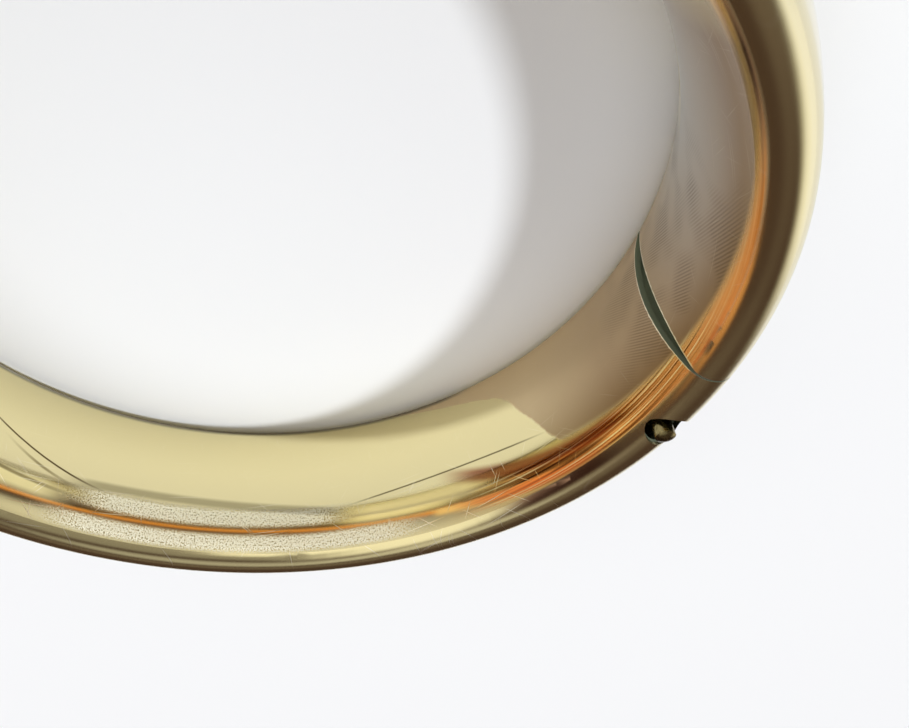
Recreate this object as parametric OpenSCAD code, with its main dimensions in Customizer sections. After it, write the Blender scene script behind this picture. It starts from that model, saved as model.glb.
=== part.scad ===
// Hinged bangle, a hollow round band in two halves with a side push button
// The ring lies around the Z axis and its middle is the origin
// The clasp joint is at +X, the hinge at -X, the box half at -Y and the tongue half at +Y

/* [Band] */
// Inside diameter of the closed bangle
inside_dia = 58.5; // [54:0.5:64]
// Width of the band along Z, which also sets its thickness
band_w = 15.4; // [15:0.1:17]
// Radius of the two rounded side edges, which also sets the thickness
edge_r = 1.65; // [1.6:0.05:1.9]
// Thickness of the sheet metal
wall = 0.45; // [0.4:0.05:0.5]

/* [Clasp] */
// Depth of the shallow bow in the mouth of the box half
joint_bow = 0.35; // [0.2:0.05:0.45]
// Depth of the bow in the end of the tongue half
end_bow = 0.95; // [0.8:0.05:1]
// Reach of the tongue past the joint
tongue_reach = 6.2; // [5:0.2:6.6]
// Width of the tongue
tongue_w = 6; // [5:0.2:6.4]
// Diameter of the push button
button_dia = 1.4; // [1.3:0.05:1.8]
// Diameter of the hole around the push button
button_hole_dia = 3; // [2.8:0.1:3.1]
// Angle around the ring from the joint to the push button
button_turn = 10.6; // [10:0.2:14]
// Height of the push button above the side edge
button_proud = 0.6; // [0.3:0.05:0.7]
// Shift of the push button from the middle of its hole towards the wrist
button_shift = 0.35; // [0.1:0.05:0.4]

/* [Hinge] */
// Diameter of the hinge pin
pin_dia = 1; // [0.8:0.1:1.1]
// Diameter of the hinge knuckles
knuckle_dia = 2.5; // [2.3:0.05:2.55]
// Length of the whole hinge barrel
barrel_len = 9; // [8:0.2:9.2]
// Angle to which the bangle opens
open_angle = 50; // [35:1:55]

/* [Hidden] */
$fn = 96;

// Play between the pieces
joint_gap = 0.1;
pin_play = 0.04;
stem_play = 0.05;
pocket_play = 0.3;
knuckle_gap = 0.15;
seat_play = 0.05;
throat_play = 0.25;

// Section of the band, two wide face arcs that run smoothly into two edge arcs
// The centres of the arcs lie on a triangle of 5 by 12 by 13 units, so those lengths need no rounding
half_w = band_w / 2;
edge_z = half_w - edge_r;
unit = edge_z / 5;
face_off = 12 * unit;
arc_span = 13 * unit;
face_r = arc_span + edge_r;
half_t = edge_r + unit;
band_t = 2 * half_t;
mid_r = inside_dia / 2 + half_t;
// Steps per millimetre to which the line between the arcs is rounded
grid = 1000;

// Clasp plates and tongue
plate_t = 0.7;
lip = 0.1;
mouth_recess = joint_bow + lip;
end_recess = end_bow + lip;
leaf_t = 0.45;
tongue_t = 1.6;
nose_r = tongue_t / 2;
lug_out = 0.5;
lug_t = 0.6;
shoulder_t = 0.2;

// Push button
hole_out = 0.15;
stem_r = 0.6;
flange_l = 4.4;
flange_n = 1.4;
flange_t = 0.5;
flange_drop = 1;
flange_top = half_w - wall - flange_drop;
press = 0.8;
press_spare = 0.2;
guide_top = flange_top - flange_t - press - press_spare;
guide_t = 0.6;
guide_l = 3.4;
stem_out = 0.3;
stem_foot = guide_top - guide_t - stem_out;
dome_r = 1.2;

// Hinge
knuckle_sink = 0.15;
pin_x = -(mid_r + half_t - knuckle_dia / 2 - knuckle_sink);
bore_r = pin_dia / 2 + pin_play;
pocket_r = knuckle_dia / 2 + pocket_play;
knuckle_mid = 3;
block_wall = 0.5;
block_t = pocket_r + block_wall;
relief_spare = 3;
relief_turn = open_angle / 2 + relief_spare;
relief_l = 5;
end_play = 0.05;
tip_swing = tongue_reach^2 / (2 * (mid_r - pin_x));

// Overrun of the cutting blocks past the metal
over = 1;
big = 2 * (mid_r + band_t);

// Section of the band, drawn smaller on every side by the inset
module section(inset) {
    join_z = round(grid * edge_z * (face_r - inset) / arc_span) / grid;
    intersection() {
        translate([-face_off, 0]) circle(r = face_r - inset);
        translate([face_off, 0]) circle(r = face_r - inset);
        square([band_t, 2 * join_z], center = true);
    }
    for (side = [0, 1]) mirror([0, side]) intersection() {
        translate([0, edge_z]) circle(r = edge_r - inset);
        translate([-half_t, join_z]) square([band_t, half_w]);
    }
}

// Half of the ring on the +Y side, as a full body of the inset section
module half_ring(inset) {
    rotate_extrude(angle = 180) translate([mid_r, 0]) section(inset);
}

// Slice of the half ring between two distances from the joint plane
module slice(inset, near, far, side) {
    intersection() {
        half_ring(inset);
        translate([side > 0 ? over : -big, near, -half_w]) cube([big - over, far - near, band_w]);
    }
}

// Hollow half with a clasp plate at the given depth and a block at the hinge end
module half_shell(recess) {
    difference() {
        half_ring(0);
        half_ring(wall);
    }
    slice(wall / 2, recess, recess + plate_t, 1);
    slice(wall / 2, -over, block_t, -1);
}

// Flat cut that leaves half of the joint gap on one half
module gap_cut() {
    translate([-big / 2, -over, -half_w - over]) cube([big, over + joint_gap / 2, band_w + 2 * over]);
}

// Bowed cut of the given depth in the clasp end of the +Y half
module bow_cut(depth) {
    bow_r = (half_w^2 + depth^2) / (2 * depth);
    translate([mid_r - band_t, depth - bow_r, 0]) rotate([0, 90, 0]) cylinder(r = bow_r, h = 2 * band_t);
}

// Wedge cut outside the pin that lets the halves swing open
module swing_relief() {
    spread = relief_l * tan(relief_turn);
    translate([pin_x, 0, -half_w - over]) linear_extrude(band_w + 2 * over)
        polygon([[0, 0], [-relief_l, -spread], [-relief_l, spread]]);
}

// Upright cylinder about the hinge pin between two heights
module about_pin(r, low, high) {
    translate([pin_x, 0, low]) cylinder(r = r, h = high - low);
}

// Two cylinders about the hinge pin, mirrored above and below the middle
module pair_about_pin(r, low, high) {
    about_pin(r, low, high);
    about_pin(r, -high, -low);
}

// Slot in a clasp plate, wider by the play on each side and by the swing outwards
module tongue_slot(play, swing, near, far) {
    translate([mid_r - nose_r - play, near, -tongue_w / 2 - play])
        cube([tongue_t + 2 * play + swing, far - near, tongue_w + 2 * play]);
}

// Frame of the hole around the push button, with X outwards and Z up at its middle
module at_hole() {
    rotate([0, 0, -button_turn]) translate([mid_r + hole_out, 0, 0]) children();
}

// Frame of the push button, which sits nearer to the wrist than its hole
module at_button() {
    at_hole() translate([-button_shift, 0, 0]) children();
}

// Cross plate inside the box half that guides the stem of the push button
module guide_plate() {
    intersection() {
        rotate([180, 0, 0]) half_ring(wall / 2);
        at_button() translate([-band_t, -guide_l / 2, guide_top - guide_t]) cube([2 * band_t, guide_l, guide_t]);
    }
}

// Knuckles of the box half, filed flush with the outer face
module outer_knuckles() {
    difference() {
        intersection() {
            pair_about_pin(knuckle_dia / 2, knuckle_mid / 2 + knuckle_gap, barrel_len / 2);
            rotate_extrude() translate([mid_r, 0]) section(0);
        }
        about_pin(bore_r, -barrel_len / 2 - over, barrel_len / 2 + over);
    }
}

module box_half() {
    color("goldenrod") {
        difference() {
            union() {
                rotate([180, 0, 0]) half_shell(mouth_recess);
                guide_plate();
            }
            rotate([180, 0, 0]) gap_cut();
            rotate([180, 0, 0]) bow_cut(joint_bow);
            tongue_slot(throat_play, tip_swing, -mouth_recess - plate_t - over, 0);
            at_hole() cylinder(r = button_hole_dia / 2, h = half_w + over);
            at_button() cylinder(r = stem_r + stem_play, h = half_w);
            swing_relief();
            about_pin(pocket_r, -knuckle_mid / 2 - knuckle_gap, knuckle_mid / 2 + knuckle_gap);
            about_pin(bore_r, -barrel_len / 2, barrel_len / 2);
        }
        outer_knuckles();
    }
}

module tongue_half() {
    color("goldenrod") {
        difference() {
            half_shell(end_recess);
            gap_cut();
            bow_cut(end_bow);
            tongue_slot(seat_play, 0, -over, end_recess + plate_t + over);
            swing_relief();
            pair_about_pin(pocket_r, knuckle_mid / 2, barrel_len / 2 + knuckle_gap);
            about_pin(bore_r, -barrel_len / 2, barrel_len / 2);
        }
        difference() {
            about_pin(knuckle_dia / 2, -knuckle_mid / 2, knuckle_mid / 2);
            about_pin(bore_r, -barrel_len / 2, barrel_len / 2);
        }
    }
}

// Folded spring blade, held by its lugs on both sides of the end plate
module tongue() {
    lug_y = end_recess + plate_t + seat_play;
    shoulder_y = end_recess - seat_play - shoulder_t;
    lug_w = tongue_w + 2 * lug_out;
    color("peru") {
        translate([mid_r, 0, -tongue_w / 2]) linear_extrude(tongue_w) difference() {
            union() {
                translate([0, nose_r - tongue_reach]) circle(r = nose_r);
                translate([-nose_r, nose_r - tongue_reach]) square([tongue_t, tongue_reach - nose_r + lug_y + lug_t]);
            }
            translate([0, nose_r - tongue_reach]) circle(r = nose_r - leaf_t);
            translate([leaf_t - nose_r, nose_r - tongue_reach])
                square([tongue_t - 2 * leaf_t, tongue_reach - nose_r + shoulder_y]);
        }
        translate([mid_r - nose_r, lug_y, -lug_w / 2]) cube([tongue_t, lug_t, lug_w]);
        translate([mid_r - nose_r, shoulder_y, -lug_w / 2]) cube([tongue_t, shoulder_t, lug_w]);
    }
}

// Button with a domed head, a flange under the side edge and a guided stem
module push_button() {
    top = half_w + button_proud;
    color("gold") at_button() {
        intersection() {
            translate([0, 0, flange_top - flange_t]) cylinder(d = button_dia, h = top - flange_top + flange_t);
            translate([0, 0, top - dome_r]) sphere(r = dome_r);
        }
        translate([-flange_n / 2, -flange_l / 2, flange_top - flange_t]) cube([flange_n, flange_l, flange_t]);
        translate([0, 0, stem_foot]) cylinder(r = stem_r, h = flange_top - stem_foot);
    }
}

module hinge_pin() {
    color("goldenrod") about_pin(pin_dia / 2, end_play - barrel_len / 2, barrel_len / 2 - end_play);
}

box_half();
tongue_half();
tongue();
push_button();
hinge_pin();
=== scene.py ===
import bmesh
import bpy
import math
from mathutils import Matrix, Vector


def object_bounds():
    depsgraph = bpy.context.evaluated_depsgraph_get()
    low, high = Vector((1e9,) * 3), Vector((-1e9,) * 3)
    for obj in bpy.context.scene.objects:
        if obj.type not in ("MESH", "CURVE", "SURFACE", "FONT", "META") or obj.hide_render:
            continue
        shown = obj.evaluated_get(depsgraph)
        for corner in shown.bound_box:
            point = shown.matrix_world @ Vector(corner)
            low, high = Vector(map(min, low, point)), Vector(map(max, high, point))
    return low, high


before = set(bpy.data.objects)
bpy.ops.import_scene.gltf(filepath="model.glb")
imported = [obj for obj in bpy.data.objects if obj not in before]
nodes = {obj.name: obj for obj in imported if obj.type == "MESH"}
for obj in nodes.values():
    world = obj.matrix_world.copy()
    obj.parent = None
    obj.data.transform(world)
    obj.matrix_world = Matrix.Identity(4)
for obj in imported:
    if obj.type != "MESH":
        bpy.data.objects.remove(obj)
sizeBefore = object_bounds()
print("frame loaded with", ", ".join(sorted(nodes)))

mm = 0.001

# sizes of the closed bangle in mm, from the frame but for the opening for the wrist
lowCorner, highCorner = sizeBefore
ring = {
    "insideRadius": 29.25, "outsideRadius": highCorner[0] / mm, "halfWidth": -lowCorner[2] / mm,
    # the inner face gives way to the side edges between these distances from the middle of the band
    "innerTo": -1.15, "edgeFrom": -0.95,
    # angle in degrees that the plates of the clasp lie within
    "claspReach": 4,
}
ring["middleRadius"] = (ring["insideRadius"] + ring["outsideRadius"]) / 2


def toLinear(hexColour, level=1.0):
    parts = [int(hexColour[i:i + 2], 16) / 255 for i in (1, 3, 5)]
    return [level * (c / 12.92 if c <= 0.04045 else ((c + 0.055) / 1.055) ** 2.4) for c in parts] + [1.0]


def pick(sockets, key):
    shown = [one for one in sockets if one.enabled]
    return shown[key] if isinstance(key, int) else next(one for one in shown if one.name == key)


# adds a node, with its settings and the nodes or outputs that feed its inputs
def addNode(tree, kind, settings=None, links=None):
    node = tree.nodes.new("ShaderNode" + kind)
    for key, value in (settings or {}).items():
        if isinstance(key, str) and hasattr(node, key):
            setattr(node, key, value)
        else:
            pick(node.inputs, key).default_value = value
    for key, source in (links or {}).items():
        output = source if isinstance(source, bpy.types.NodeSocket) else pick(source.outputs, 0)
        tree.links.new(output, pick(node.inputs, key))
    return node


# full within the inner distance of the middle, and gone from the outer distance on
def nearMask(tree, value, middle, inner, outer, full=1.0, fading="SMOOTHSTEP"):
    off = addNode(tree, "Math", {"operation": "SUBTRACT", 1: middle}, {0: value})
    off = addNode(tree, "Math", {"operation": "ABSOLUTE"}, {0: off})
    return addNode(tree, "MapRange", {"interpolation_type": fading, "From Min": inner, "From Max": outer,
                                      "To Min": full, "To Max": 0}, {"Value": off})


def newMaterial(name):
    material = bpy.data.materials.new(name)
    material.use_nodes = True
    material.node_tree.nodes.clear()
    return material, material.node_tree


def wear(name, material):
    mesh = nodes[name].data
    mesh.materials.clear()
    mesh.materials.append(material)


# place on the ring: angle in degrees from the joint, height and distance outwards from the middle of the
# band in mm, the inner face rolled out flat in mm, and masks of the inner face and of the clasp's end
def ringPlace(tree):
    place = addNode(tree, "TexCoord")
    inMm = addNode(tree, "VectorMath", {"operation": "SCALE", "Scale": 1 / mm},
                   {"Vector": place.outputs["Object"]})
    across, along, height = addNode(tree, "SeparateXYZ", None, {"Vector": inMm}).outputs
    turn = addNode(tree, "Math", {"operation": "ARCTAN2"}, {0: along, 1: across})
    angle = addNode(tree, "Math", {"operation": "DEGREES"}, {0: turn})
    arc = addNode(tree, "Math", {"operation": "MULTIPLY", 1: ring["insideRadius"]}, {0: turn})
    flat = addNode(tree, "CombineXYZ", {"Z": 0}, {"X": arc, "Y": height})
    level = addNode(tree, "CombineXYZ", {"Z": 0}, {"X": across, "Y": along})
    radius = addNode(tree, "VectorMath", {"operation": "LENGTH"}, {"Vector": level})
    out = addNode(tree, "Math", {"operation": "SUBTRACT", 1: ring["middleRadius"]}, {0: radius})
    inward = addNode(tree, "MapRange", {"From Min": ring["innerTo"], "From Max": ring["edgeFrom"],
                                        "To Min": 1, "To Max": 0}, {"Value": out})
    fromJoint = addNode(tree, "Math", {"operation": "ABSOLUTE"}, {0: angle})
    atClasp = addNode(tree, "Math", {"operation": "LESS_THAN", 1: ring["claspReach"]}, {0: fromJoint})
    return {"angle": angle, "height": height, "out": out, "flat": flat, "along": along, "inward": inward,
            "atClasp": atClasp, "normal": place.outputs["Normal"]}


# rolled gold: a skin of 12 carat gold rolled onto brass, drawn to a hollow band, soldered and polished to a
# mirror; a pale greenish yellow with sharp reflections, which wear has blurred, scratched and rubbed; in
# places painted shade, painted highlights and painted reflections are laid over its colour
# angles are in degrees, sizes and heights in mm
rolledGold = {
    # material of each half, and the depth to which its end is bowed, below 0 on the box half
    "halves": {"box_half": ("rolledGoldBox", -0.35), "tongue_half": ("rolledGoldTongue", 0.95)},
    "colour": "#e6d9a6", "roughness": 0.07, "bumpStrength": 0.5, "bumpDepth": 0.01,
    # the outer face is a little paler
    "outerColour": "#e9e0bd", "outerFrom": 0.2, "outerTo": 0.8,
    # handling has blurred the side edges, and the ends by the clasp
    "rimRoughness": 0.22, "rimFrom": 5.8, "rimTo": 6.8,
    "claspRoughness": 0.26, "claspFull": 9, "claspEnd": 15,
    # stretch beside the clasp that only the coarse side of the polishing wheel met, so it is dull; its colour
    # is painted shade and painted reflection that darken and tint the mirror there
    "dullAndShadedStretch": {
        "roughness": 0.42,
        # painted shade and reflection: pale low down, brown by the shoulder, grey further round, and a little
        # paler where it starts
        "shoulderColour": "#94795a", "deepColour": "#d0b994", "deepFrom": -6, "deepTo": 5,
        "greyColour": "#d6dadb", "greyStart": -4, "greyEnd": 30, "greyLow": -5, "greyHigh": 6,
        "greyLeast": 0.1, "paleColour": "#f0dcb0", "paleStart": -29, "paleEnd": -13, "paleShare": 0.35,
        # it starts at a slanting wavy edge that bends away below a height
        "edgeAngle": -30.5, "edgeSlope": 1.3, "edgeBend": 0.9, "bendHeight": -2.3, "edgeSoftness": 0.25,
        "edgeWobble": 1.2, "wobbleScale": 0.7,
        # it ends softly, and reaches further round where it is high up
        "endAngle": 20, "endFade": 16, "furtherRound": 24, "furtherFrom": -3, "furtherTo": -1,
        # its top, which rises with the angle
        "topHeight": 5.5, "topSlope": 0.05, "topBelow": 0.5, "topAbove": 0.3,
    },
    # lines of the polishing wheel in the dull stretch, coarser than the real ones so that they show
    "polishLines": {
        "spacing": 0.2, "turn": 32, "length": 12, "waviness": 1.5, "colour": "#5d4a35", "shade": 0.45,
        "middle": 8, "reach": 20, "reachFade": 8, "patchScale": 0.25, "patchFrom": 0.42, "patchTo": 0.6,
    },
    # painted orange reflection along the inner shoulder, a copper coloured line that stands in for the orange
    # highlight on its rounded corner
    "paintedOrangeLine": {
        # painted highlight streaks and dark streaks along it, and the share of light that the bright ones
        # scatter
        "colour": "#e2a066", "streakLength": 30, "streakWidth": 0.16, "brightColour": "#ffe6ac",
        "brightFrom": 0.52, "brightTo": 0.68, "brightScatter": 0.6, "darkColour": "#6e4020",
        "darkFrom": 0.46, "darkTo": 0.34,
        # further round the painted reflection is an even orange satin
        "satinColour": "#f0a04e", "satinStart": 1, "satinEnd": 11, "satinShare": 0.8,
        "start": -48, "startFade": 15,
        "topHeight": 6.9, "topSlope": 0.013, "topBelow": 0.15, "topAbove": 0.05,
        # its foot follows the top of the dull stretch on one side and bends down on the other
        "footDrop": 0.55, "footPeak": -20, "footHeight": 5.1, "footBend": -0.0022, "footFade": 0.5,
    },
    # two bands of the shoulder away from the clasp, rubbed to a satin, speckled with painted sparkle and
    # painted shade
    "rubbedBandsWithPaintedSparkle": {
        # middle, half width, first and last angle
        "bands": [(3.55, 0.9, -116, -66), (5.8, 0.8, -120, -54)],
        # the sides fade between these shares of the half width, the ends from before to past the last angle
        "sideFrom": 0.5, "sideTo": 1.2, "endBefore": 8, "endPast": 4, "roughness": 0.3,
        # specks of about 0.14 mm, coarser than the real ones so that they show
        "speckScale": 7, "speckRoughness": 0.7,
        # pale specks are painted sparkle, dark specks painted shade in the hollows of the grain
        "brightColour": "#fffbe2", "brightFrom": 0.4, "brightTo": 0.52, "brightShare": 0.95,
        "darkColour": "#6a5c36", "darkFrom": 0.42, "darkTo": 0.34, "darkShare": 0.75,
    },
    # fine bright hairlines from wear
    "hairlines": {
        "colour": "#fff6da", "roughness": 0.3, "depth": 0.3,
        # turn, length and share of the cells that hold a line
        "sets": [(-7, 7, 0.05), (38, 3.5, 0.025), (-55, 3, 0.02), (80, 2.5, 0.015)],
        # width of the cells, wider than a real hairline so that it shows, and where in its cell a line fades
        "cell": 0.1, "core": 0.1, "reach": 0.34,
        # they are faint below the shoulder and beside the clasp
        "lowHeight": 1, "fullHeight": 4, "fullEnd": -36, "faintStart": -22, "faintShare": 0.1,
    },
    # marks are full in this share of their width, and fade over this angle at both ends
    "markCore": 0.25, "markFade": 9,
    # marks and painted light on the inner face, drawn in this order: angle and height of the peak, bend,
    # first and last angle, width, shade, colour, and the share of light that the mark scatters
    "marksAndPaintedLight": [
        # painted shade along the lower edge, standing in for the floor's shade reflected there, and a band of
        # painted shade under the rubbed bands
        (-90, -7.1, 0, -175, -40, 0.75, 0.85, "#6f6656", 0),
        (-100, 2.1, 0.0012, -120, -62, 0.6, 0.5, "#4f4426", 0),
        # two pale painted highlights on the shoulder, the second with two faint scratches
        (-50, 3.95, 0, -70, -36, 1.25, 0.9, "#fff0b2", 0.7),
        (-128, 3.95, 0, -152, -114, 1.25, 0.9, "#fff0ae", 0.85),
        (-110, 3.2, -0.007, -131, -114, 0.2, 0.7, "#6a5628", 0),
        (-110, 3.8, -0.0011, -138, -114, 0.24, 0.7, "#6a5628", 0),
        # painted reflections: a copper coloured glow on both sides of the orange line, and a brown sheen
        # above it
        (-12, 5.3, -0.0022, -50, -9, 0.95, 0.85, "#8f4426", 0),
        (-12, 6.6, -0.0012, -50, -16, 0.5, 0.55, "#c87650", 0),
        (-27, 7.0, 0, -42, -14, 0.55, 0.85, "#8a5a48", 0),
        # two dark scratches
        (-46, 2.0, 0.0022, -68, -26, 0.11, 0.85, "#4f4426", 0),
        (-98, 3.3, -0.0035, -138, -109, 0.14, 0.95, "#4f3a20", 0),
    ],
    # green-grey film on metal that nothing polishes, inside the hollow band and on the plates of the clasp:
    # half the thickness and half the width of the hollow, and how squarely a plate faces the joint
    "film": {
        "colour": "#8a947c", "roughness": 0.6, "metal": 0.2,
        "insideOut": 2.62, "insideHeight": 7.48, "plateFacing": 0.9,
    },
    # painted highlight along the edge of each mouth, where its burnished edge catches light, a little nicked
    "mouthEdgeHighlight": {"colour": "#efe6cc", "width": 0.13, "fade": 0.05, "nickScale": 2.5, "nickDepth": 0.14},
}


# 1 in the dull stretch, which also carries painted shade, and 0 elsewhere
def dullAndShadedMask(tree, place, s):
    under = addNode(tree, "Math", {"operation": "SUBTRACT", 0: s["bendHeight"]}, {1: place["height"]})
    under = addNode(tree, "Math", {"operation": "MAXIMUM", 1: 0}, {0: under})
    bend = addNode(tree, "Math", {"operation": "MULTIPLY"}, {0: under, 1: under})
    past = addNode(tree, "Math", {"operation": "MULTIPLY_ADD", 1: -s["edgeSlope"]},
                   {0: place["height"], 2: place["angle"]})
    wobble = addNode(tree, "TexNoise", {"noise_dimensions": "2D", "Scale": s["wobbleScale"], "Detail": 3},
                     {"Vector": place["flat"]})
    past = addNode(tree, "Math", {"operation": "MULTIPLY_ADD", 1: s["edgeWobble"]}, {0: wobble, 2: past})
    past = addNode(tree, "Math", {"operation": "MULTIPLY_ADD", 1: s["edgeBend"]}, {0: bend, 2: past})
    edge = s["edgeAngle"] + s["edgeWobble"] / 2
    mask = addNode(tree, "MapRange", {"From Min": edge - s["edgeSoftness"],
                                      "From Max": edge + s["edgeSoftness"]}, {"Value": past})
    further = addNode(tree, "MapRange", {"From Min": s["furtherFrom"], "From Max": s["furtherTo"],
                                         "To Max": s["furtherRound"]}, {"Value": place["height"]})
    turned = addNode(tree, "Math", {"operation": "SUBTRACT"}, {0: place["angle"], 1: further})
    ended = addNode(tree, "MapRange", {"From Min": s["endAngle"], "From Max": s["endAngle"] + s["endFade"],
                                       "To Min": 1, "To Max": 0}, {"Value": turned})
    rise = addNode(tree, "Math", {"operation": "MULTIPLY_ADD", 1: -s["topSlope"]},
                   {0: place["angle"], 2: place["height"]})
    below = addNode(tree, "MapRange", {"interpolation_type": "SMOOTHSTEP",
                                       "From Min": s["topHeight"] - s["topBelow"],
                                       "From Max": s["topHeight"] + s["topAbove"], "To Min": 1, "To Max": 0},
                    {"Value": rise})
    for part in (ended, below, place["inward"]):
        mask = addNode(tree, "Math", {"operation": "MULTIPLY"}, {0: mask, 1: part})
    return mask


# painted shade and painted reflection of the dull stretch: brown by the shoulder, paler low down, grey
# further round
def dullPaintedShadeColour(tree, place, s):
    deep = addNode(tree, "MapRange", {"From Min": s["deepFrom"], "From Max": s["deepTo"],
                                      "To Min": 1, "To Max": 0}, {"Value": place["height"]})
    turned = addNode(tree, "MapRange", {"interpolation_type": "SMOOTHSTEP", "From Min": s["greyStart"],
                                        "From Max": s["greyEnd"]}, {"Value": place["angle"]})
    grey = addNode(tree, "MapRange", {"From Min": s["greyLow"], "From Max": s["greyHigh"],
                                      "To Min": 1, "To Max": s["greyLeast"]}, {"Value": place["height"]})
    grey = addNode(tree, "Math", {"operation": "MULTIPLY"}, {0: turned, 1: grey})
    pale = addNode(tree, "MapRange", {"From Min": s["paleStart"], "From Max": s["paleEnd"],
                                      "To Min": s["paleShare"], "To Max": 0}, {"Value": place["angle"]})
    colour = addNode(tree, "Mix", {"data_type": "RGBA", "A": toLinear(s["shoulderColour"]),
                                   "B": toLinear(s["deepColour"])}, {"Factor": deep})
    for share, name in ((grey, "greyColour"), (pale, "paleColour")):
        colour = addNode(tree, "Mix", {"data_type": "RGBA", "B": toLinear(s[name])},
                         {"Factor": share, "A": colour})
    return colour


# polishing lines, in patches of the dull stretch
def polishMask(tree, place, dullAndShaded, s):
    turned = addNode(tree, "Mapping", {"vector_type": "TEXTURE", "Rotation": (0, 0, math.radians(s["turn"])),
                                       "Scale": (s["length"], 1, 1)}, {"Vector": place["flat"]})
    # a wave repeats 20 times in 2 pi of its scale
    wave = addNode(tree, "TexWave", {"bands_direction": "Y", "Scale": math.tau / (20 * s["spacing"]),
                                     "Distortion": s["waviness"], "Detail": 1, "Detail Scale": 0.5},
                   {"Vector": turned})
    patches = addNode(tree, "TexNoise", {"noise_dimensions": "2D", "Scale": s["patchScale"], "Detail": 1},
                      {"Vector": place["flat"]})
    shown = addNode(tree, "MapRange", {"From Min": s["patchFrom"], "From Max": s["patchTo"],
                                       "To Max": s["shade"]}, {"Value": patches})
    near = nearMask(tree, place["angle"], s["middle"], s["reach"] - s["reachFade"], s["reach"],
                    fading="LINEAR")
    for part in (shown, dullAndShaded, near):
        wave = addNode(tree, "Math", {"operation": "MULTIPLY"}, {0: wave, 1: part})
    return wave


# 1 on the painted orange reflection line beside the dull stretch, whose values are given too
def paintedOrangeLineMask(tree, place, bright, s, beside):
    mask = addNode(tree, "MapRange", {"From Min": s["start"], "From Max": s["start"] + s["startFade"]},
                   {"Value": place["angle"]})
    rise = addNode(tree, "Math", {"operation": "MULTIPLY_ADD", 1: -s["topSlope"]},
                   {0: place["angle"], 2: place["height"]})
    below = addNode(tree, "MapRange", {"From Min": s["topHeight"] - s["topBelow"],
                                       "From Max": s["topHeight"] + s["topAbove"], "To Min": 1, "To Max": 0},
                    {"Value": rise})
    follow = addNode(tree, "Math", {"operation": "MULTIPLY_ADD", 1: beside["topSlope"],
                                    2: beside["topHeight"] - s["footDrop"]}, {0: place["angle"]})
    off = addNode(tree, "Math", {"operation": "SUBTRACT", 1: s["footPeak"]}, {0: place["angle"]})
    off = addNode(tree, "Math", {"operation": "MULTIPLY"}, {0: off, 1: off})
    bent = addNode(tree, "Math", {"operation": "MULTIPLY_ADD", 1: s["footBend"], 2: s["footHeight"]},
                   {0: off})
    foot = addNode(tree, "Math", {"operation": "MAXIMUM"}, {0: follow, 1: bent})
    foot = addNode(tree, "Math", {"operation": "MINIMUM", 1: s["topHeight"]}, {0: foot})
    above = addNode(tree, "Math", {"operation": "SUBTRACT"}, {0: place["height"], 1: foot})
    above = addNode(tree, "MapRange", {"From Min": -s["footFade"], "From Max": 0}, {"Value": above})
    for part in (below, above, place["inward"], bright):
        mask = addNode(tree, "Math", {"operation": "MULTIPLY"}, {0: mask, 1: part})
    return mask


# colour of the painted orange reflection with its painted highlight streaks, and the share of light that it
# scatters
def paintedOrangeLineColour(tree, place, s):
    drawn = addNode(tree, "Mapping", {"vector_type": "TEXTURE",
                                      "Scale": (s["streakLength"], s["streakWidth"], 1)},
                    {"Vector": place["flat"]})
    streaks = addNode(tree, "TexNoise", {"noise_dimensions": "2D", "Scale": 1, "Detail": 2},
                      {"Vector": drawn})
    bright = addNode(tree, "MapRange", {"From Min": s["brightFrom"], "From Max": s["brightTo"]},
                     {"Value": streaks})
    dark = addNode(tree, "MapRange", {"From Min": s["darkFrom"], "From Max": s["darkTo"]}, {"Value": streaks})
    satin = addNode(tree, "MapRange", {"From Min": s["satinStart"], "From Max": s["satinEnd"],
                                       "To Max": s["satinShare"]}, {"Value": place["angle"]})
    colour = addNode(tree, "Mix", {"data_type": "RGBA", "A": toLinear(s["colour"]),
                                   "B": toLinear(s["brightColour"])}, {"Factor": bright})
    for share, name in ((dark, "darkColour"), (satin, "satinColour")):
        colour = addNode(tree, "Mix", {"data_type": "RGBA", "B": toLinear(s[name])},
                         {"Factor": share, "A": colour})
    scattered = addNode(tree, "Math", {"operation": "MULTIPLY", 1: s["brightScatter"]}, {0: bright})
    return colour, addNode(tree, "Math", {"operation": "MAXIMUM"}, {0: scattered, 1: satin})


# 1 on the rubbed bands
def rubbedMask(tree, place, s):
    mask = None
    for middle, half, first, last in s["bands"]:
        across = nearMask(tree, place["height"], middle, half * s["sideFrom"], half * s["sideTo"])
        reach = (last - first) / 2
        along = nearMask(tree, place["angle"], (first + last) / 2, reach - s["endBefore"],
                         reach + s["endPast"])
        band = addNode(tree, "Math", {"operation": "MULTIPLY"}, {0: across, 1: along})
        mask = addNode(tree, "Math", {"operation": "MAXIMUM"}, {0: mask, 1: band}) if mask else band
    return addNode(tree, "Math", {"operation": "MULTIPLY"}, {0: mask, 1: place["inward"]})


# the specks of painted sparkle and of painted shade
def paintedSparkleAndShadeSpecks(tree, place, mask, s):
    specks = addNode(tree, "TexNoise", {"noise_dimensions": "2D", "Scale": s["speckScale"], "Detail": 3,
                                        "Roughness": s["speckRoughness"]}, {"Vector": place["flat"]})
    both = []
    for name in ("bright", "dark"):
        shown = addNode(tree, "MapRange", {"From Min": s[name + "From"], "From Max": s[name + "To"],
                                           "To Max": s[name + "Share"]}, {"Value": specks})
        both.append(addNode(tree, "Math", {"operation": "MULTIPLY"}, {0: shown, 1: mask}))
    return both


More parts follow.
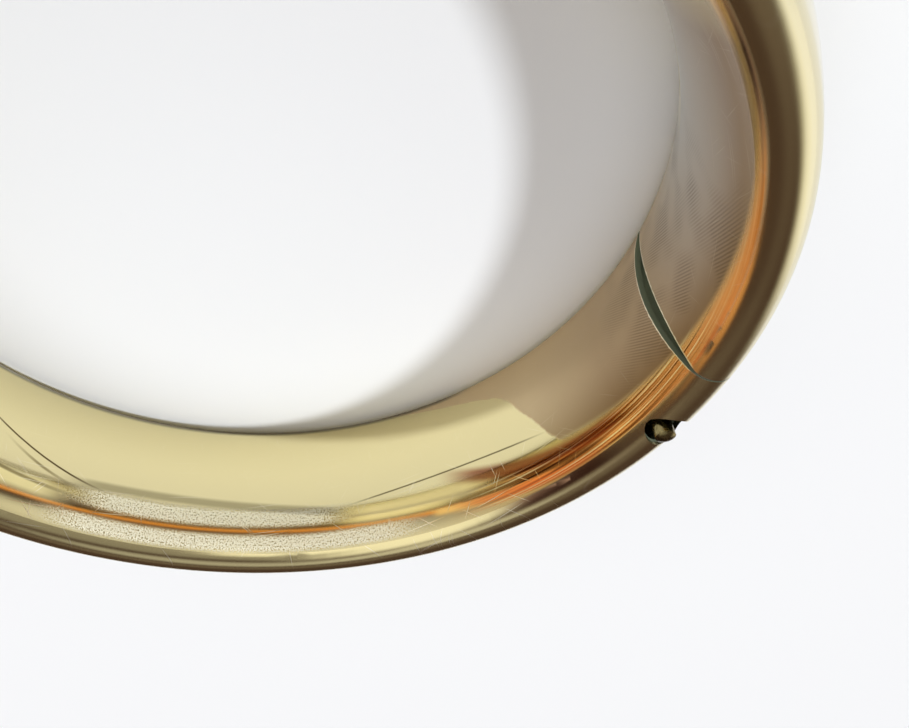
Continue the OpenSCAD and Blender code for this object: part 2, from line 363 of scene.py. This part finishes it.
# one tapered dash in a few of the long cells of a pattern, in four directions
def hairlineMask(tree, place, s):
    lines = None
    for turn, length, share in s["sets"]:
        turned = addNode(tree, "Mapping", {"vector_type": "TEXTURE", "Rotation": (0, 0, math.radians(turn)),
                                           "Scale": (length, s["cell"], 1)}, {"Vector": place["flat"]})
        cells = addNode(tree, "TexVoronoi", {"voronoi_dimensions": "2D", "Scale": 1}, {"Vector": turned})
        dash = addNode(tree, "MapRange", {"From Min": s["core"], "From Max": s["reach"],
                                          "To Min": 1, "To Max": 0}, {"Value": cells.outputs["Distance"]})
        chance = addNode(tree, "SeparateColor", None, {"Color": cells.outputs["Color"]})
        chosen = addNode(tree, "Math", {"operation": "LESS_THAN", 1: share}, {0: chance})
        line = addNode(tree, "Math", {"operation": "MULTIPLY"}, {0: dash, 1: chosen})
        lines = addNode(tree, "Math", {"operation": "MAXIMUM"}, {0: lines, 1: line}) if lines else line
    shoulder = addNode(tree, "MapRange", {"From Min": s["lowHeight"], "From Max": s["fullHeight"],
                                          "To Min": s["faintShare"]}, {"Value": place["height"]})
    early = addNode(tree, "MapRange", {"From Min": s["fullEnd"], "From Max": s["faintStart"], "To Min": 1,
                                       "To Max": s["faintShare"]}, {"Value": place["angle"]})
    for part in (shoulder, early):
        lines = addNode(tree, "Math", {"operation": "MULTIPLY"}, {0: lines, 1: part})
    return lines


# the colour and the scattered share with the marks and the painted light drawn over them
def drawMarksAndPaintedLight(tree, place, colour, scattered, s):
    for peak, height, bend, first, last, width, shade, markColour, scatter in s["marksAndPaintedLight"]:
        off = addNode(tree, "Math", {"operation": "SUBTRACT", 1: peak}, {0: place["angle"]})
        square = addNode(tree, "Math", {"operation": "MULTIPLY"}, {0: off, 1: off})
        path = addNode(tree, "Math", {"operation": "MULTIPLY_ADD", 1: bend, 2: height}, {0: square})
        away = addNode(tree, "Math", {"operation": "SUBTRACT"}, {0: place["height"], 1: path})
        mark = nearMask(tree, away, 0, width * s["markCore"], width, shade)
        reach = (last - first) / 2
        along = nearMask(tree, place["angle"], (first + last) / 2, reach - s["markFade"], reach)
        for part in (along, place["inward"]):
            mark = addNode(tree, "Math", {"operation": "MULTIPLY"}, {0: mark, 1: part})
        colour = addNode(tree, "Mix", {"data_type": "RGBA", "B": toLinear(markColour)},
                         {"Factor": mark, "A": colour})
        if scatter:
            scattered = addNode(tree, "Mix", {"B": scatter}, {"Factor": mark, "A": scattered})
    return colour, scattered


# 1 where the film is
def filmMask(tree, place, s):
    wide = addNode(tree, "Math", {"operation": "DIVIDE", 1: s["insideOut"]}, {0: place["out"]})
    wide = addNode(tree, "Math", {"operation": "POWER", 1: 2}, {0: wide})
    tall = addNode(tree, "Math", {"operation": "DIVIDE", 1: s["insideHeight"]}, {0: place["height"]})
    tall = addNode(tree, "Math", {"operation": "MULTIPLY_ADD"}, {0: tall, 1: tall, 2: wide})
    inside = addNode(tree, "Math", {"operation": "LESS_THAN", 1: 1}, {0: tall})
    facing = addNode(tree, "SeparateXYZ", None, {"Vector": place["normal"]})
    facing = addNode(tree, "Math", {"operation": "ABSOLUTE"}, {0: facing.outputs["Y"]})
    square = addNode(tree, "Math", {"operation": "GREATER_THAN", 1: s["plateFacing"]}, {0: facing})
    plate = addNode(tree, "Math", {"operation": "MULTIPLY"}, {0: square, 1: place["atClasp"]})
    return addNode(tree, "Math", {"operation": "MAXIMUM"}, {0: inside, 1: plate})


# 1 on the painted highlight along the edge of the mouth, which is bowed by the given depth
def mouthHighlightMask(tree, place, bow, s):
    share = addNode(tree, "Math", {"operation": "DIVIDE", 1: ring["halfWidth"]}, {0: place["height"]})
    share = addNode(tree, "Math", {"operation": "MULTIPLY"}, {0: share, 1: share})
    edge = addNode(tree, "Math", {"operation": "MULTIPLY_ADD", 1: -bow, 2: bow}, {0: share})
    away = addNode(tree, "Math", {"operation": "SUBTRACT"}, {0: edge, 1: place["along"]})
    away = addNode(tree, "Math", {"operation": "ABSOLUTE"}, {0: away})
    nicks = addNode(tree, "TexNoise", {"noise_dimensions": "2D", "Scale": s["nickScale"], "Detail": 2},
                    {"Vector": place["flat"]})
    away = addNode(tree, "Math", {"operation": "MULTIPLY_ADD", 1: s["nickDepth"]}, {0: nicks, 2: away})
    mask = addNode(tree, "MapRange", {"From Min": s["width"], "From Max": s["width"] + s["fade"],
                                      "To Min": 1, "To Max": 0}, {"Value": away})
    return addNode(tree, "Math", {"operation": "MULTIPLY"}, {0: mask, 1: place["atClasp"]})


def goldMaterial(name, bow, s):
    material, tree = newMaterial(name)
    place = ringPlace(tree)
    dullAndShaded = dullAndShadedMask(tree, place, s["dullAndShadedStretch"])
    bright = addNode(tree, "Math", {"operation": "SUBTRACT", 0: 1}, {1: dullAndShaded})
    orangeLineShare = paintedOrangeLineMask(tree, place, bright, s["paintedOrangeLine"], s["dullAndShadedStretch"])
    polish = polishMask(tree, place, dullAndShaded, s["polishLines"])
    rubbed = rubbedMask(tree, place, s["rubbedBandsWithPaintedSparkle"])
    paintedSparkleSpecks, paintedShadeSpecks = paintedSparkleAndShadeSpecks(tree, place, rubbed, s["rubbedBandsWithPaintedSparkle"])
    lines = hairlineMask(tree, place, s["hairlines"])
    filmed = filmMask(tree, place, s["film"])
    edge = mouthHighlightMask(tree, place, bow, s["mouthEdgeHighlight"])

    # colours, each laid over the ones before it
    # painted shade of the dull stretch, with the polishing lines over it
    paintedShadeAndLines = addNode(tree, "Mix", {"data_type": "RGBA", "B": toLinear(s["polishLines"]["colour"])},
                      {"Factor": polish, "A": dullPaintedShadeColour(tree, place, s["dullAndShadedStretch"])})
    paintedOrange, scattered = paintedOrangeLineColour(tree, place, s["paintedOrangeLine"])
    outer = addNode(tree, "MapRange", {"From Min": s["outerFrom"], "From Max": s["outerTo"]},
                    {"Value": place["out"]})
    colour = addNode(tree, "Mix", {"data_type": "RGBA", "A": toLinear(s["colour"]),
                                   "B": toLinear(s["outerColour"])}, {"Factor": outer})
    # lays the dull stretch's painted shade and the painted orange reflection line over the gold
    for mask, layer in ((dullAndShaded, paintedShadeAndLines), (orangeLineShare, paintedOrange)):
        colour = addNode(tree, "Mix", {"data_type": "RGBA"}, {"Factor": mask, "A": colour, "B": layer})
    # painted sparkle and painted shade in the specks of the rubbed bands
    for mask, key in ((paintedSparkleSpecks, "brightColour"), (paintedShadeSpecks, "darkColour")):
        colour = addNode(tree, "Mix", {"data_type": "RGBA", "B": toLinear(s["rubbedBandsWithPaintedSparkle"][key])},
                         {"Factor": mask, "A": colour})
    scattered = addNode(tree, "Math", {"operation": "MULTIPLY"}, {0: scattered, 1: orangeLineShare})
    scattered = addNode(tree, "Math", {"operation": "MAXIMUM"}, {0: scattered, 1: paintedSparkleSpecks})
    colour, scattered = drawMarksAndPaintedLight(tree, place, colour, scattered, s)
    # hairlines, the painted highlight of each mouth's edge and the film, over the rest
    for mask, layer in ((lines, "hairlines"), (edge, "mouthEdgeHighlight"), (filmed, "film")):
        colour = addNode(tree, "Mix", {"data_type": "RGBA", "B": toLinear(s[layer]["colour"])},
                         {"Factor": mask, "A": colour})

    rim = addNode(tree, "MapRange", {"From Min": s["rimFrom"], "From Max": s["rimTo"]},
                  {"Value": place["height"]})
    handled = nearMask(tree, place["angle"], 0, s["claspFull"], s["claspEnd"], fading="LINEAR")
    handled = addNode(tree, "Math", {"operation": "MULTIPLY"}, {0: handled, 1: bright})
    roughness = addNode(tree, "Mix", {"A": s["roughness"], "B": s["dullAndShadedStretch"]["roughness"]},
                        {"Factor": dullAndShaded})
    for mask, level in ((rubbed, s["rubbedBandsWithPaintedSparkle"]["roughness"]), (rim, s["rimRoughness"]),
                        (handled, s["claspRoughness"]), (lines, s["hairlines"]["roughness"]),
                        (filmed, s["film"]["roughness"])):
        roughness = addNode(tree, "Mix", {"B": level}, {"Factor": mask, "A": roughness})

    # what scatters light isn't a mirror, so it counts as no metal
    metal = addNode(tree, "Math", {"operation": "SUBTRACT", 0: 1}, {1: scattered})
    metal = addNode(tree, "Mix", {"B": s["film"]["metal"]}, {"Factor": filmed, "A": metal})
    relief = addNode(tree, "Math", {"operation": "MULTIPLY_ADD", 1: -s["hairlines"]["depth"]},
                     {0: lines, 2: polish})
    bump = addNode(tree, "Bump", {"Strength": s["bumpStrength"], "Distance": s["bumpDepth"] * mm},
                   {"Height": relief})
    shader = addNode(tree, "BsdfPrincipled", None,
                     {"Base Color": colour, "Metallic": metal, "Roughness": roughness, "Normal": bump})
    addNode(tree, "OutputMaterial", None, {"Surface": shader})
    return material


for half, (name, bow) in rolledGold["halves"].items():
    wear(half, goldMaterial(name, bow, rolledGold))
print("gold done")

# small parts in bare brass, brown where nothing rubs it; sizes of the stains and of the fine lines in mm
smallParts = {
    # hard rolled spring strip, folded, then filed along its length, so it gleams softly across the lines
    "tongue": {"name": "springBrass", "colour": "#b3945a", "stain": "#80643a", "stainSize": 1.3,
               "roughness": 0.35, "lineSize": (0.08, 1.5, 0.08)},
    # turned rod whose head is buffed by use and dark near its foot, so it glints
    "push_button": {"name": "buttonBrass", "colour": "#9a8c60", "stain": "#5f5334", "stainSize": 0.6,
                    "roughness": 0.2, "lineSize": (0.12, 0.12, 0.06)},
    # drawn wire, with fine lines along it that streak its gleam
    "hinge_pin": {"name": "pinBrass", "colour": "#c4a566", "stain": "#8d7040", "stainSize": 0.8,
                  "roughness": 0.3, "lineSize": (0.08, 0.08, 1.5)},
}
brassFinish = {
    "stainFrom": 0.4, "stainTo": 0.65, "lineFrom": 0.3, "lineTo": 0.7, "smoother": 0.08, "rougher": 0.12,
    "bumpStrength": 0.4, "bumpDepth": 0.005,
}


def brassMaterial(s, finish):
    material, tree = newMaterial(s["name"])
    place = addNode(tree, "TexCoord").outputs["Object"]
    stains = addNode(tree, "TexNoise", {"Scale": 1 / (s["stainSize"] * mm), "Detail": 3}, {"Vector": place})
    stains = addNode(tree, "MapRange", {"From Min": finish["stainFrom"], "From Max": finish["stainTo"]},
                     {"Value": stains})
    colour = addNode(tree, "Mix", {"data_type": "RGBA", "A": toLinear(s["colour"]),
                                   "B": toLinear(s["stain"])}, {"Factor": stains})
    drawn = addNode(tree, "Mapping", {"vector_type": "TEXTURE",
                                      "Scale": [size * mm for size in s["lineSize"]]}, {"Vector": place})
    lines = addNode(tree, "TexNoise", {"Scale": 1, "Detail": 1}, {"Vector": drawn})
    roughness = addNode(tree, "MapRange", {"From Min": finish["lineFrom"], "From Max": finish["lineTo"],
                                           "To Min": s["roughness"] - finish["smoother"],
                                           "To Max": s["roughness"] + finish["rougher"]}, {"Value": lines})
    bump = addNode(tree, "Bump", {"Strength": finish["bumpStrength"], "Distance": finish["bumpDepth"] * mm},
                   {"Height": lines})
    shader = addNode(tree, "BsdfPrincipled", {"Metallic": 1},
                     {"Base Color": colour, "Roughness": roughness, "Normal": bump})
    addNode(tree, "OutputMaterial", None, {"Surface": shader})
    return material


for name, s in smallParts.items():
    wear(name, brassMaterial(s, brassFinish))
print("small parts done")

# camera, fitted to the outlines of the photo, in degrees and mm
camera = {
    "azimuth": 96.194, "elevation": 38.726, "roll": 180.361, "distance": 64.107,
    "target": (7.438, -12.541, 0), "lens": 31.43, "sensor": 36, "shift": (0.1502, 0.0188), "nearest": 1,
}


# unit vector towards an azimuth and an elevation, both in degrees
def towards(azimuth, elevation):
    azimuth, elevation = math.radians(azimuth), math.radians(elevation)
    flat = math.cos(elevation)
    return Vector((flat * math.cos(azimuth), flat * math.sin(azimuth), math.sin(elevation)))


def addCamera(s):
    back = towards(s["azimuth"], s["elevation"])
    level = (-back).cross(Vector((0, 0, 1))).normalized()
    upright = level.cross(-back)
    roll = math.radians(s["roll"])
    right = math.cos(roll) * level + math.sin(roll) * upright
    up = math.cos(roll) * upright - math.sin(roll) * level
    data = bpy.data.cameras.new("photoCamera")
    data.lens = s["lens"]
    data.sensor_width = s["sensor"]
    data.shift_x, data.shift_y = s["shift"]
    data.clip_start = s["nearest"] * mm
    ob = bpy.data.objects.new("photoCamera", data)
    ob.matrix_world = Matrix((right, up, back)).transposed().to_4x4()
    ob.location = (Vector(s["target"]) + s["distance"] * back) * mm
    bpy.context.scene.collection.objects.link(ob)
    bpy.context.scene.camera = ob


addCamera(camera)
bpy.context.scene.view_settings.view_transform = "Standard"
print("camera done")

# floor: white card of pressed paper with no gloss, so it shows only soft shadows
floorCard = {"halfSize": 1500, "colour": "#f4f4f3", "roughness": 0.9}


def addFloor(s):
    card, tree = newMaterial("whiteCard")
    shader = addNode(tree, "BsdfPrincipled", {"Base Color": toLinear(s["colour"]),
                                              "Roughness": s["roughness"]})
    addNode(tree, "OutputMaterial", None, {"Surface": shader})
    bm = bmesh.new()
    bmesh.ops.create_grid(bm, x_segments=1, y_segments=1, size=s["halfSize"] * mm)
    bmesh.ops.translate(bm, verts=bm.verts, vec=(0, 0, lowCorner[2]))
    mesh = bpy.data.meshes.new("floor")
    bm.to_mesh(mesh)
    bm.free()
    mesh.materials.append(card)
    ob = bpy.data.objects.new("floor", mesh)
    bpy.context.scene.collection.objects.link(ob)


addFloor(floorCard)
print("floor done")

# soft studio around the bangle: pale screens with soft edges in front of a dark warm room, in degrees
# the camera sees a plain pale backdrop instead of them
studio = {
    "room": "#4e3e38", "backdrop": "#f1f1f0",
    "screens": [
        # azimuth, half width, lowest, highest, softness, colour, level
        (-80, 110, 50, 64, 8, "#766a64", 1.0),
        (0, 180, 76, 100, 6, "#fdfbf8", 0.5),
        (72, 60, 10, 58, 8, "#fff8f0", 0.3),
        (-6, 24, -10, 35, 11, "#fdfcf8", 1.15),
        (66, 36, 9, 17, 3, "#fdfcf8", 0.95),
        (125, 34, 14, 34, 5, "#fdfcf8", 1.3),
        (150, 24, 10, 62, 12, "#fdfcf8", 1.2),
        (-152, 34, 60, 78, 5, "#fdfbf8", 0.75),
        (-125, 14, 48, 54, 5, "#877b74", 1.0),
        (90, 66, 2.2, 4.4, 0.7, "#f0a050", 1.0),
        (-170, 40, -10, 6, 1.5, "#fbd49c", 1.1),
        (-125, 10, 3, 27, 3, "#e8a468", 1.0),
    ],
}


def addStudio(s):
    world = bpy.data.worlds.new("studio")
    bpy.context.scene.world = world
    world.use_nodes = True
    tree = world.node_tree
    tree.nodes.clear()
    place = addNode(tree, "TexCoord")
    axes = addNode(tree, "SeparateXYZ", None, {"Vector": place.outputs["Generated"]})
    turn = addNode(tree, "Math", {"operation": "ARCTAN2"}, {0: axes.outputs["Y"], 1: axes.outputs["X"]})
    azimuth = addNode(tree, "Math", {"operation": "DEGREES"}, {0: turn})
    rise = addNode(tree, "Math", {"operation": "ARCSINE"}, {0: axes.outputs["Z"]})
    elevation = addNode(tree, "Math", {"operation": "DEGREES"}, {0: rise})
    colour = None
    for middle, half, lowest, highest, softness, screenColour, level in s["screens"]:
        away = addNode(tree, "Math", {"operation": "SUBTRACT", 1: middle}, {0: azimuth})
        away = addNode(tree, "Math", {"operation": "WRAP", 1: 180, 2: -180}, {0: away})
        across = nearMask(tree, away, 0, half - softness, half + softness)
        half = (highest - lowest) / 2
        upright = nearMask(tree, elevation, (lowest + highest) / 2, half - softness, half + softness)
        screen = addNode(tree, "Math", {"operation": "MULTIPLY"}, {0: across, 1: upright})
        behind = {"A": colour} if colour else {}
        colour = addNode(tree, "Mix", {"data_type": "RGBA", "A": toLinear(s["room"]),
                                       "B": toLinear(screenColour, level)}, {"Factor": screen, **behind})
    seen = addNode(tree, "LightPath")
    colour = addNode(tree, "Mix", {"data_type": "RGBA", "B": toLinear(s["backdrop"])},
                     {"Factor": seen, "A": colour})
    sky = addNode(tree, "Background", None, {"Color": colour})
    addNode(tree, "OutputWorld", None, {"Surface": sky})


addStudio(studio)

# angles in degrees, the spread is how wide each looks from the bangle, the strength in watts per square metre
softboxes = {
    # far softbox above the joint, which also throws the soft shadow inside the ring
    "keyBox": {"azimuth": 24, "elevation": 54, "spread": 8.6, "strength": 1.95, "colour": "#f1f7ff"},
    # wide cloth overhead that keeps that shadow light
    "fillBox": {"azimuth": -150, "elevation": 80, "spread": 60, "strength": 0.85, "colour": "#f4f8ff"},
}


def addSoftbox(name, s):
    light = bpy.data.lights.new(name, "SUN")
    light.angle = math.radians(s["spread"])
    light.color = toLinear(s["colour"])[:3]
    light.energy = s["strength"]
    ob = bpy.data.objects.new(name, light)
    ob.rotation_euler = towards(s["azimuth"], s["elevation"]).to_track_quat("Z", "Y").to_euler()
    ob.visible_glossy = False
    bpy.context.scene.collection.objects.link(ob)


for name, s in softboxes.items():
    addSoftbox(name, s)
print("light done")
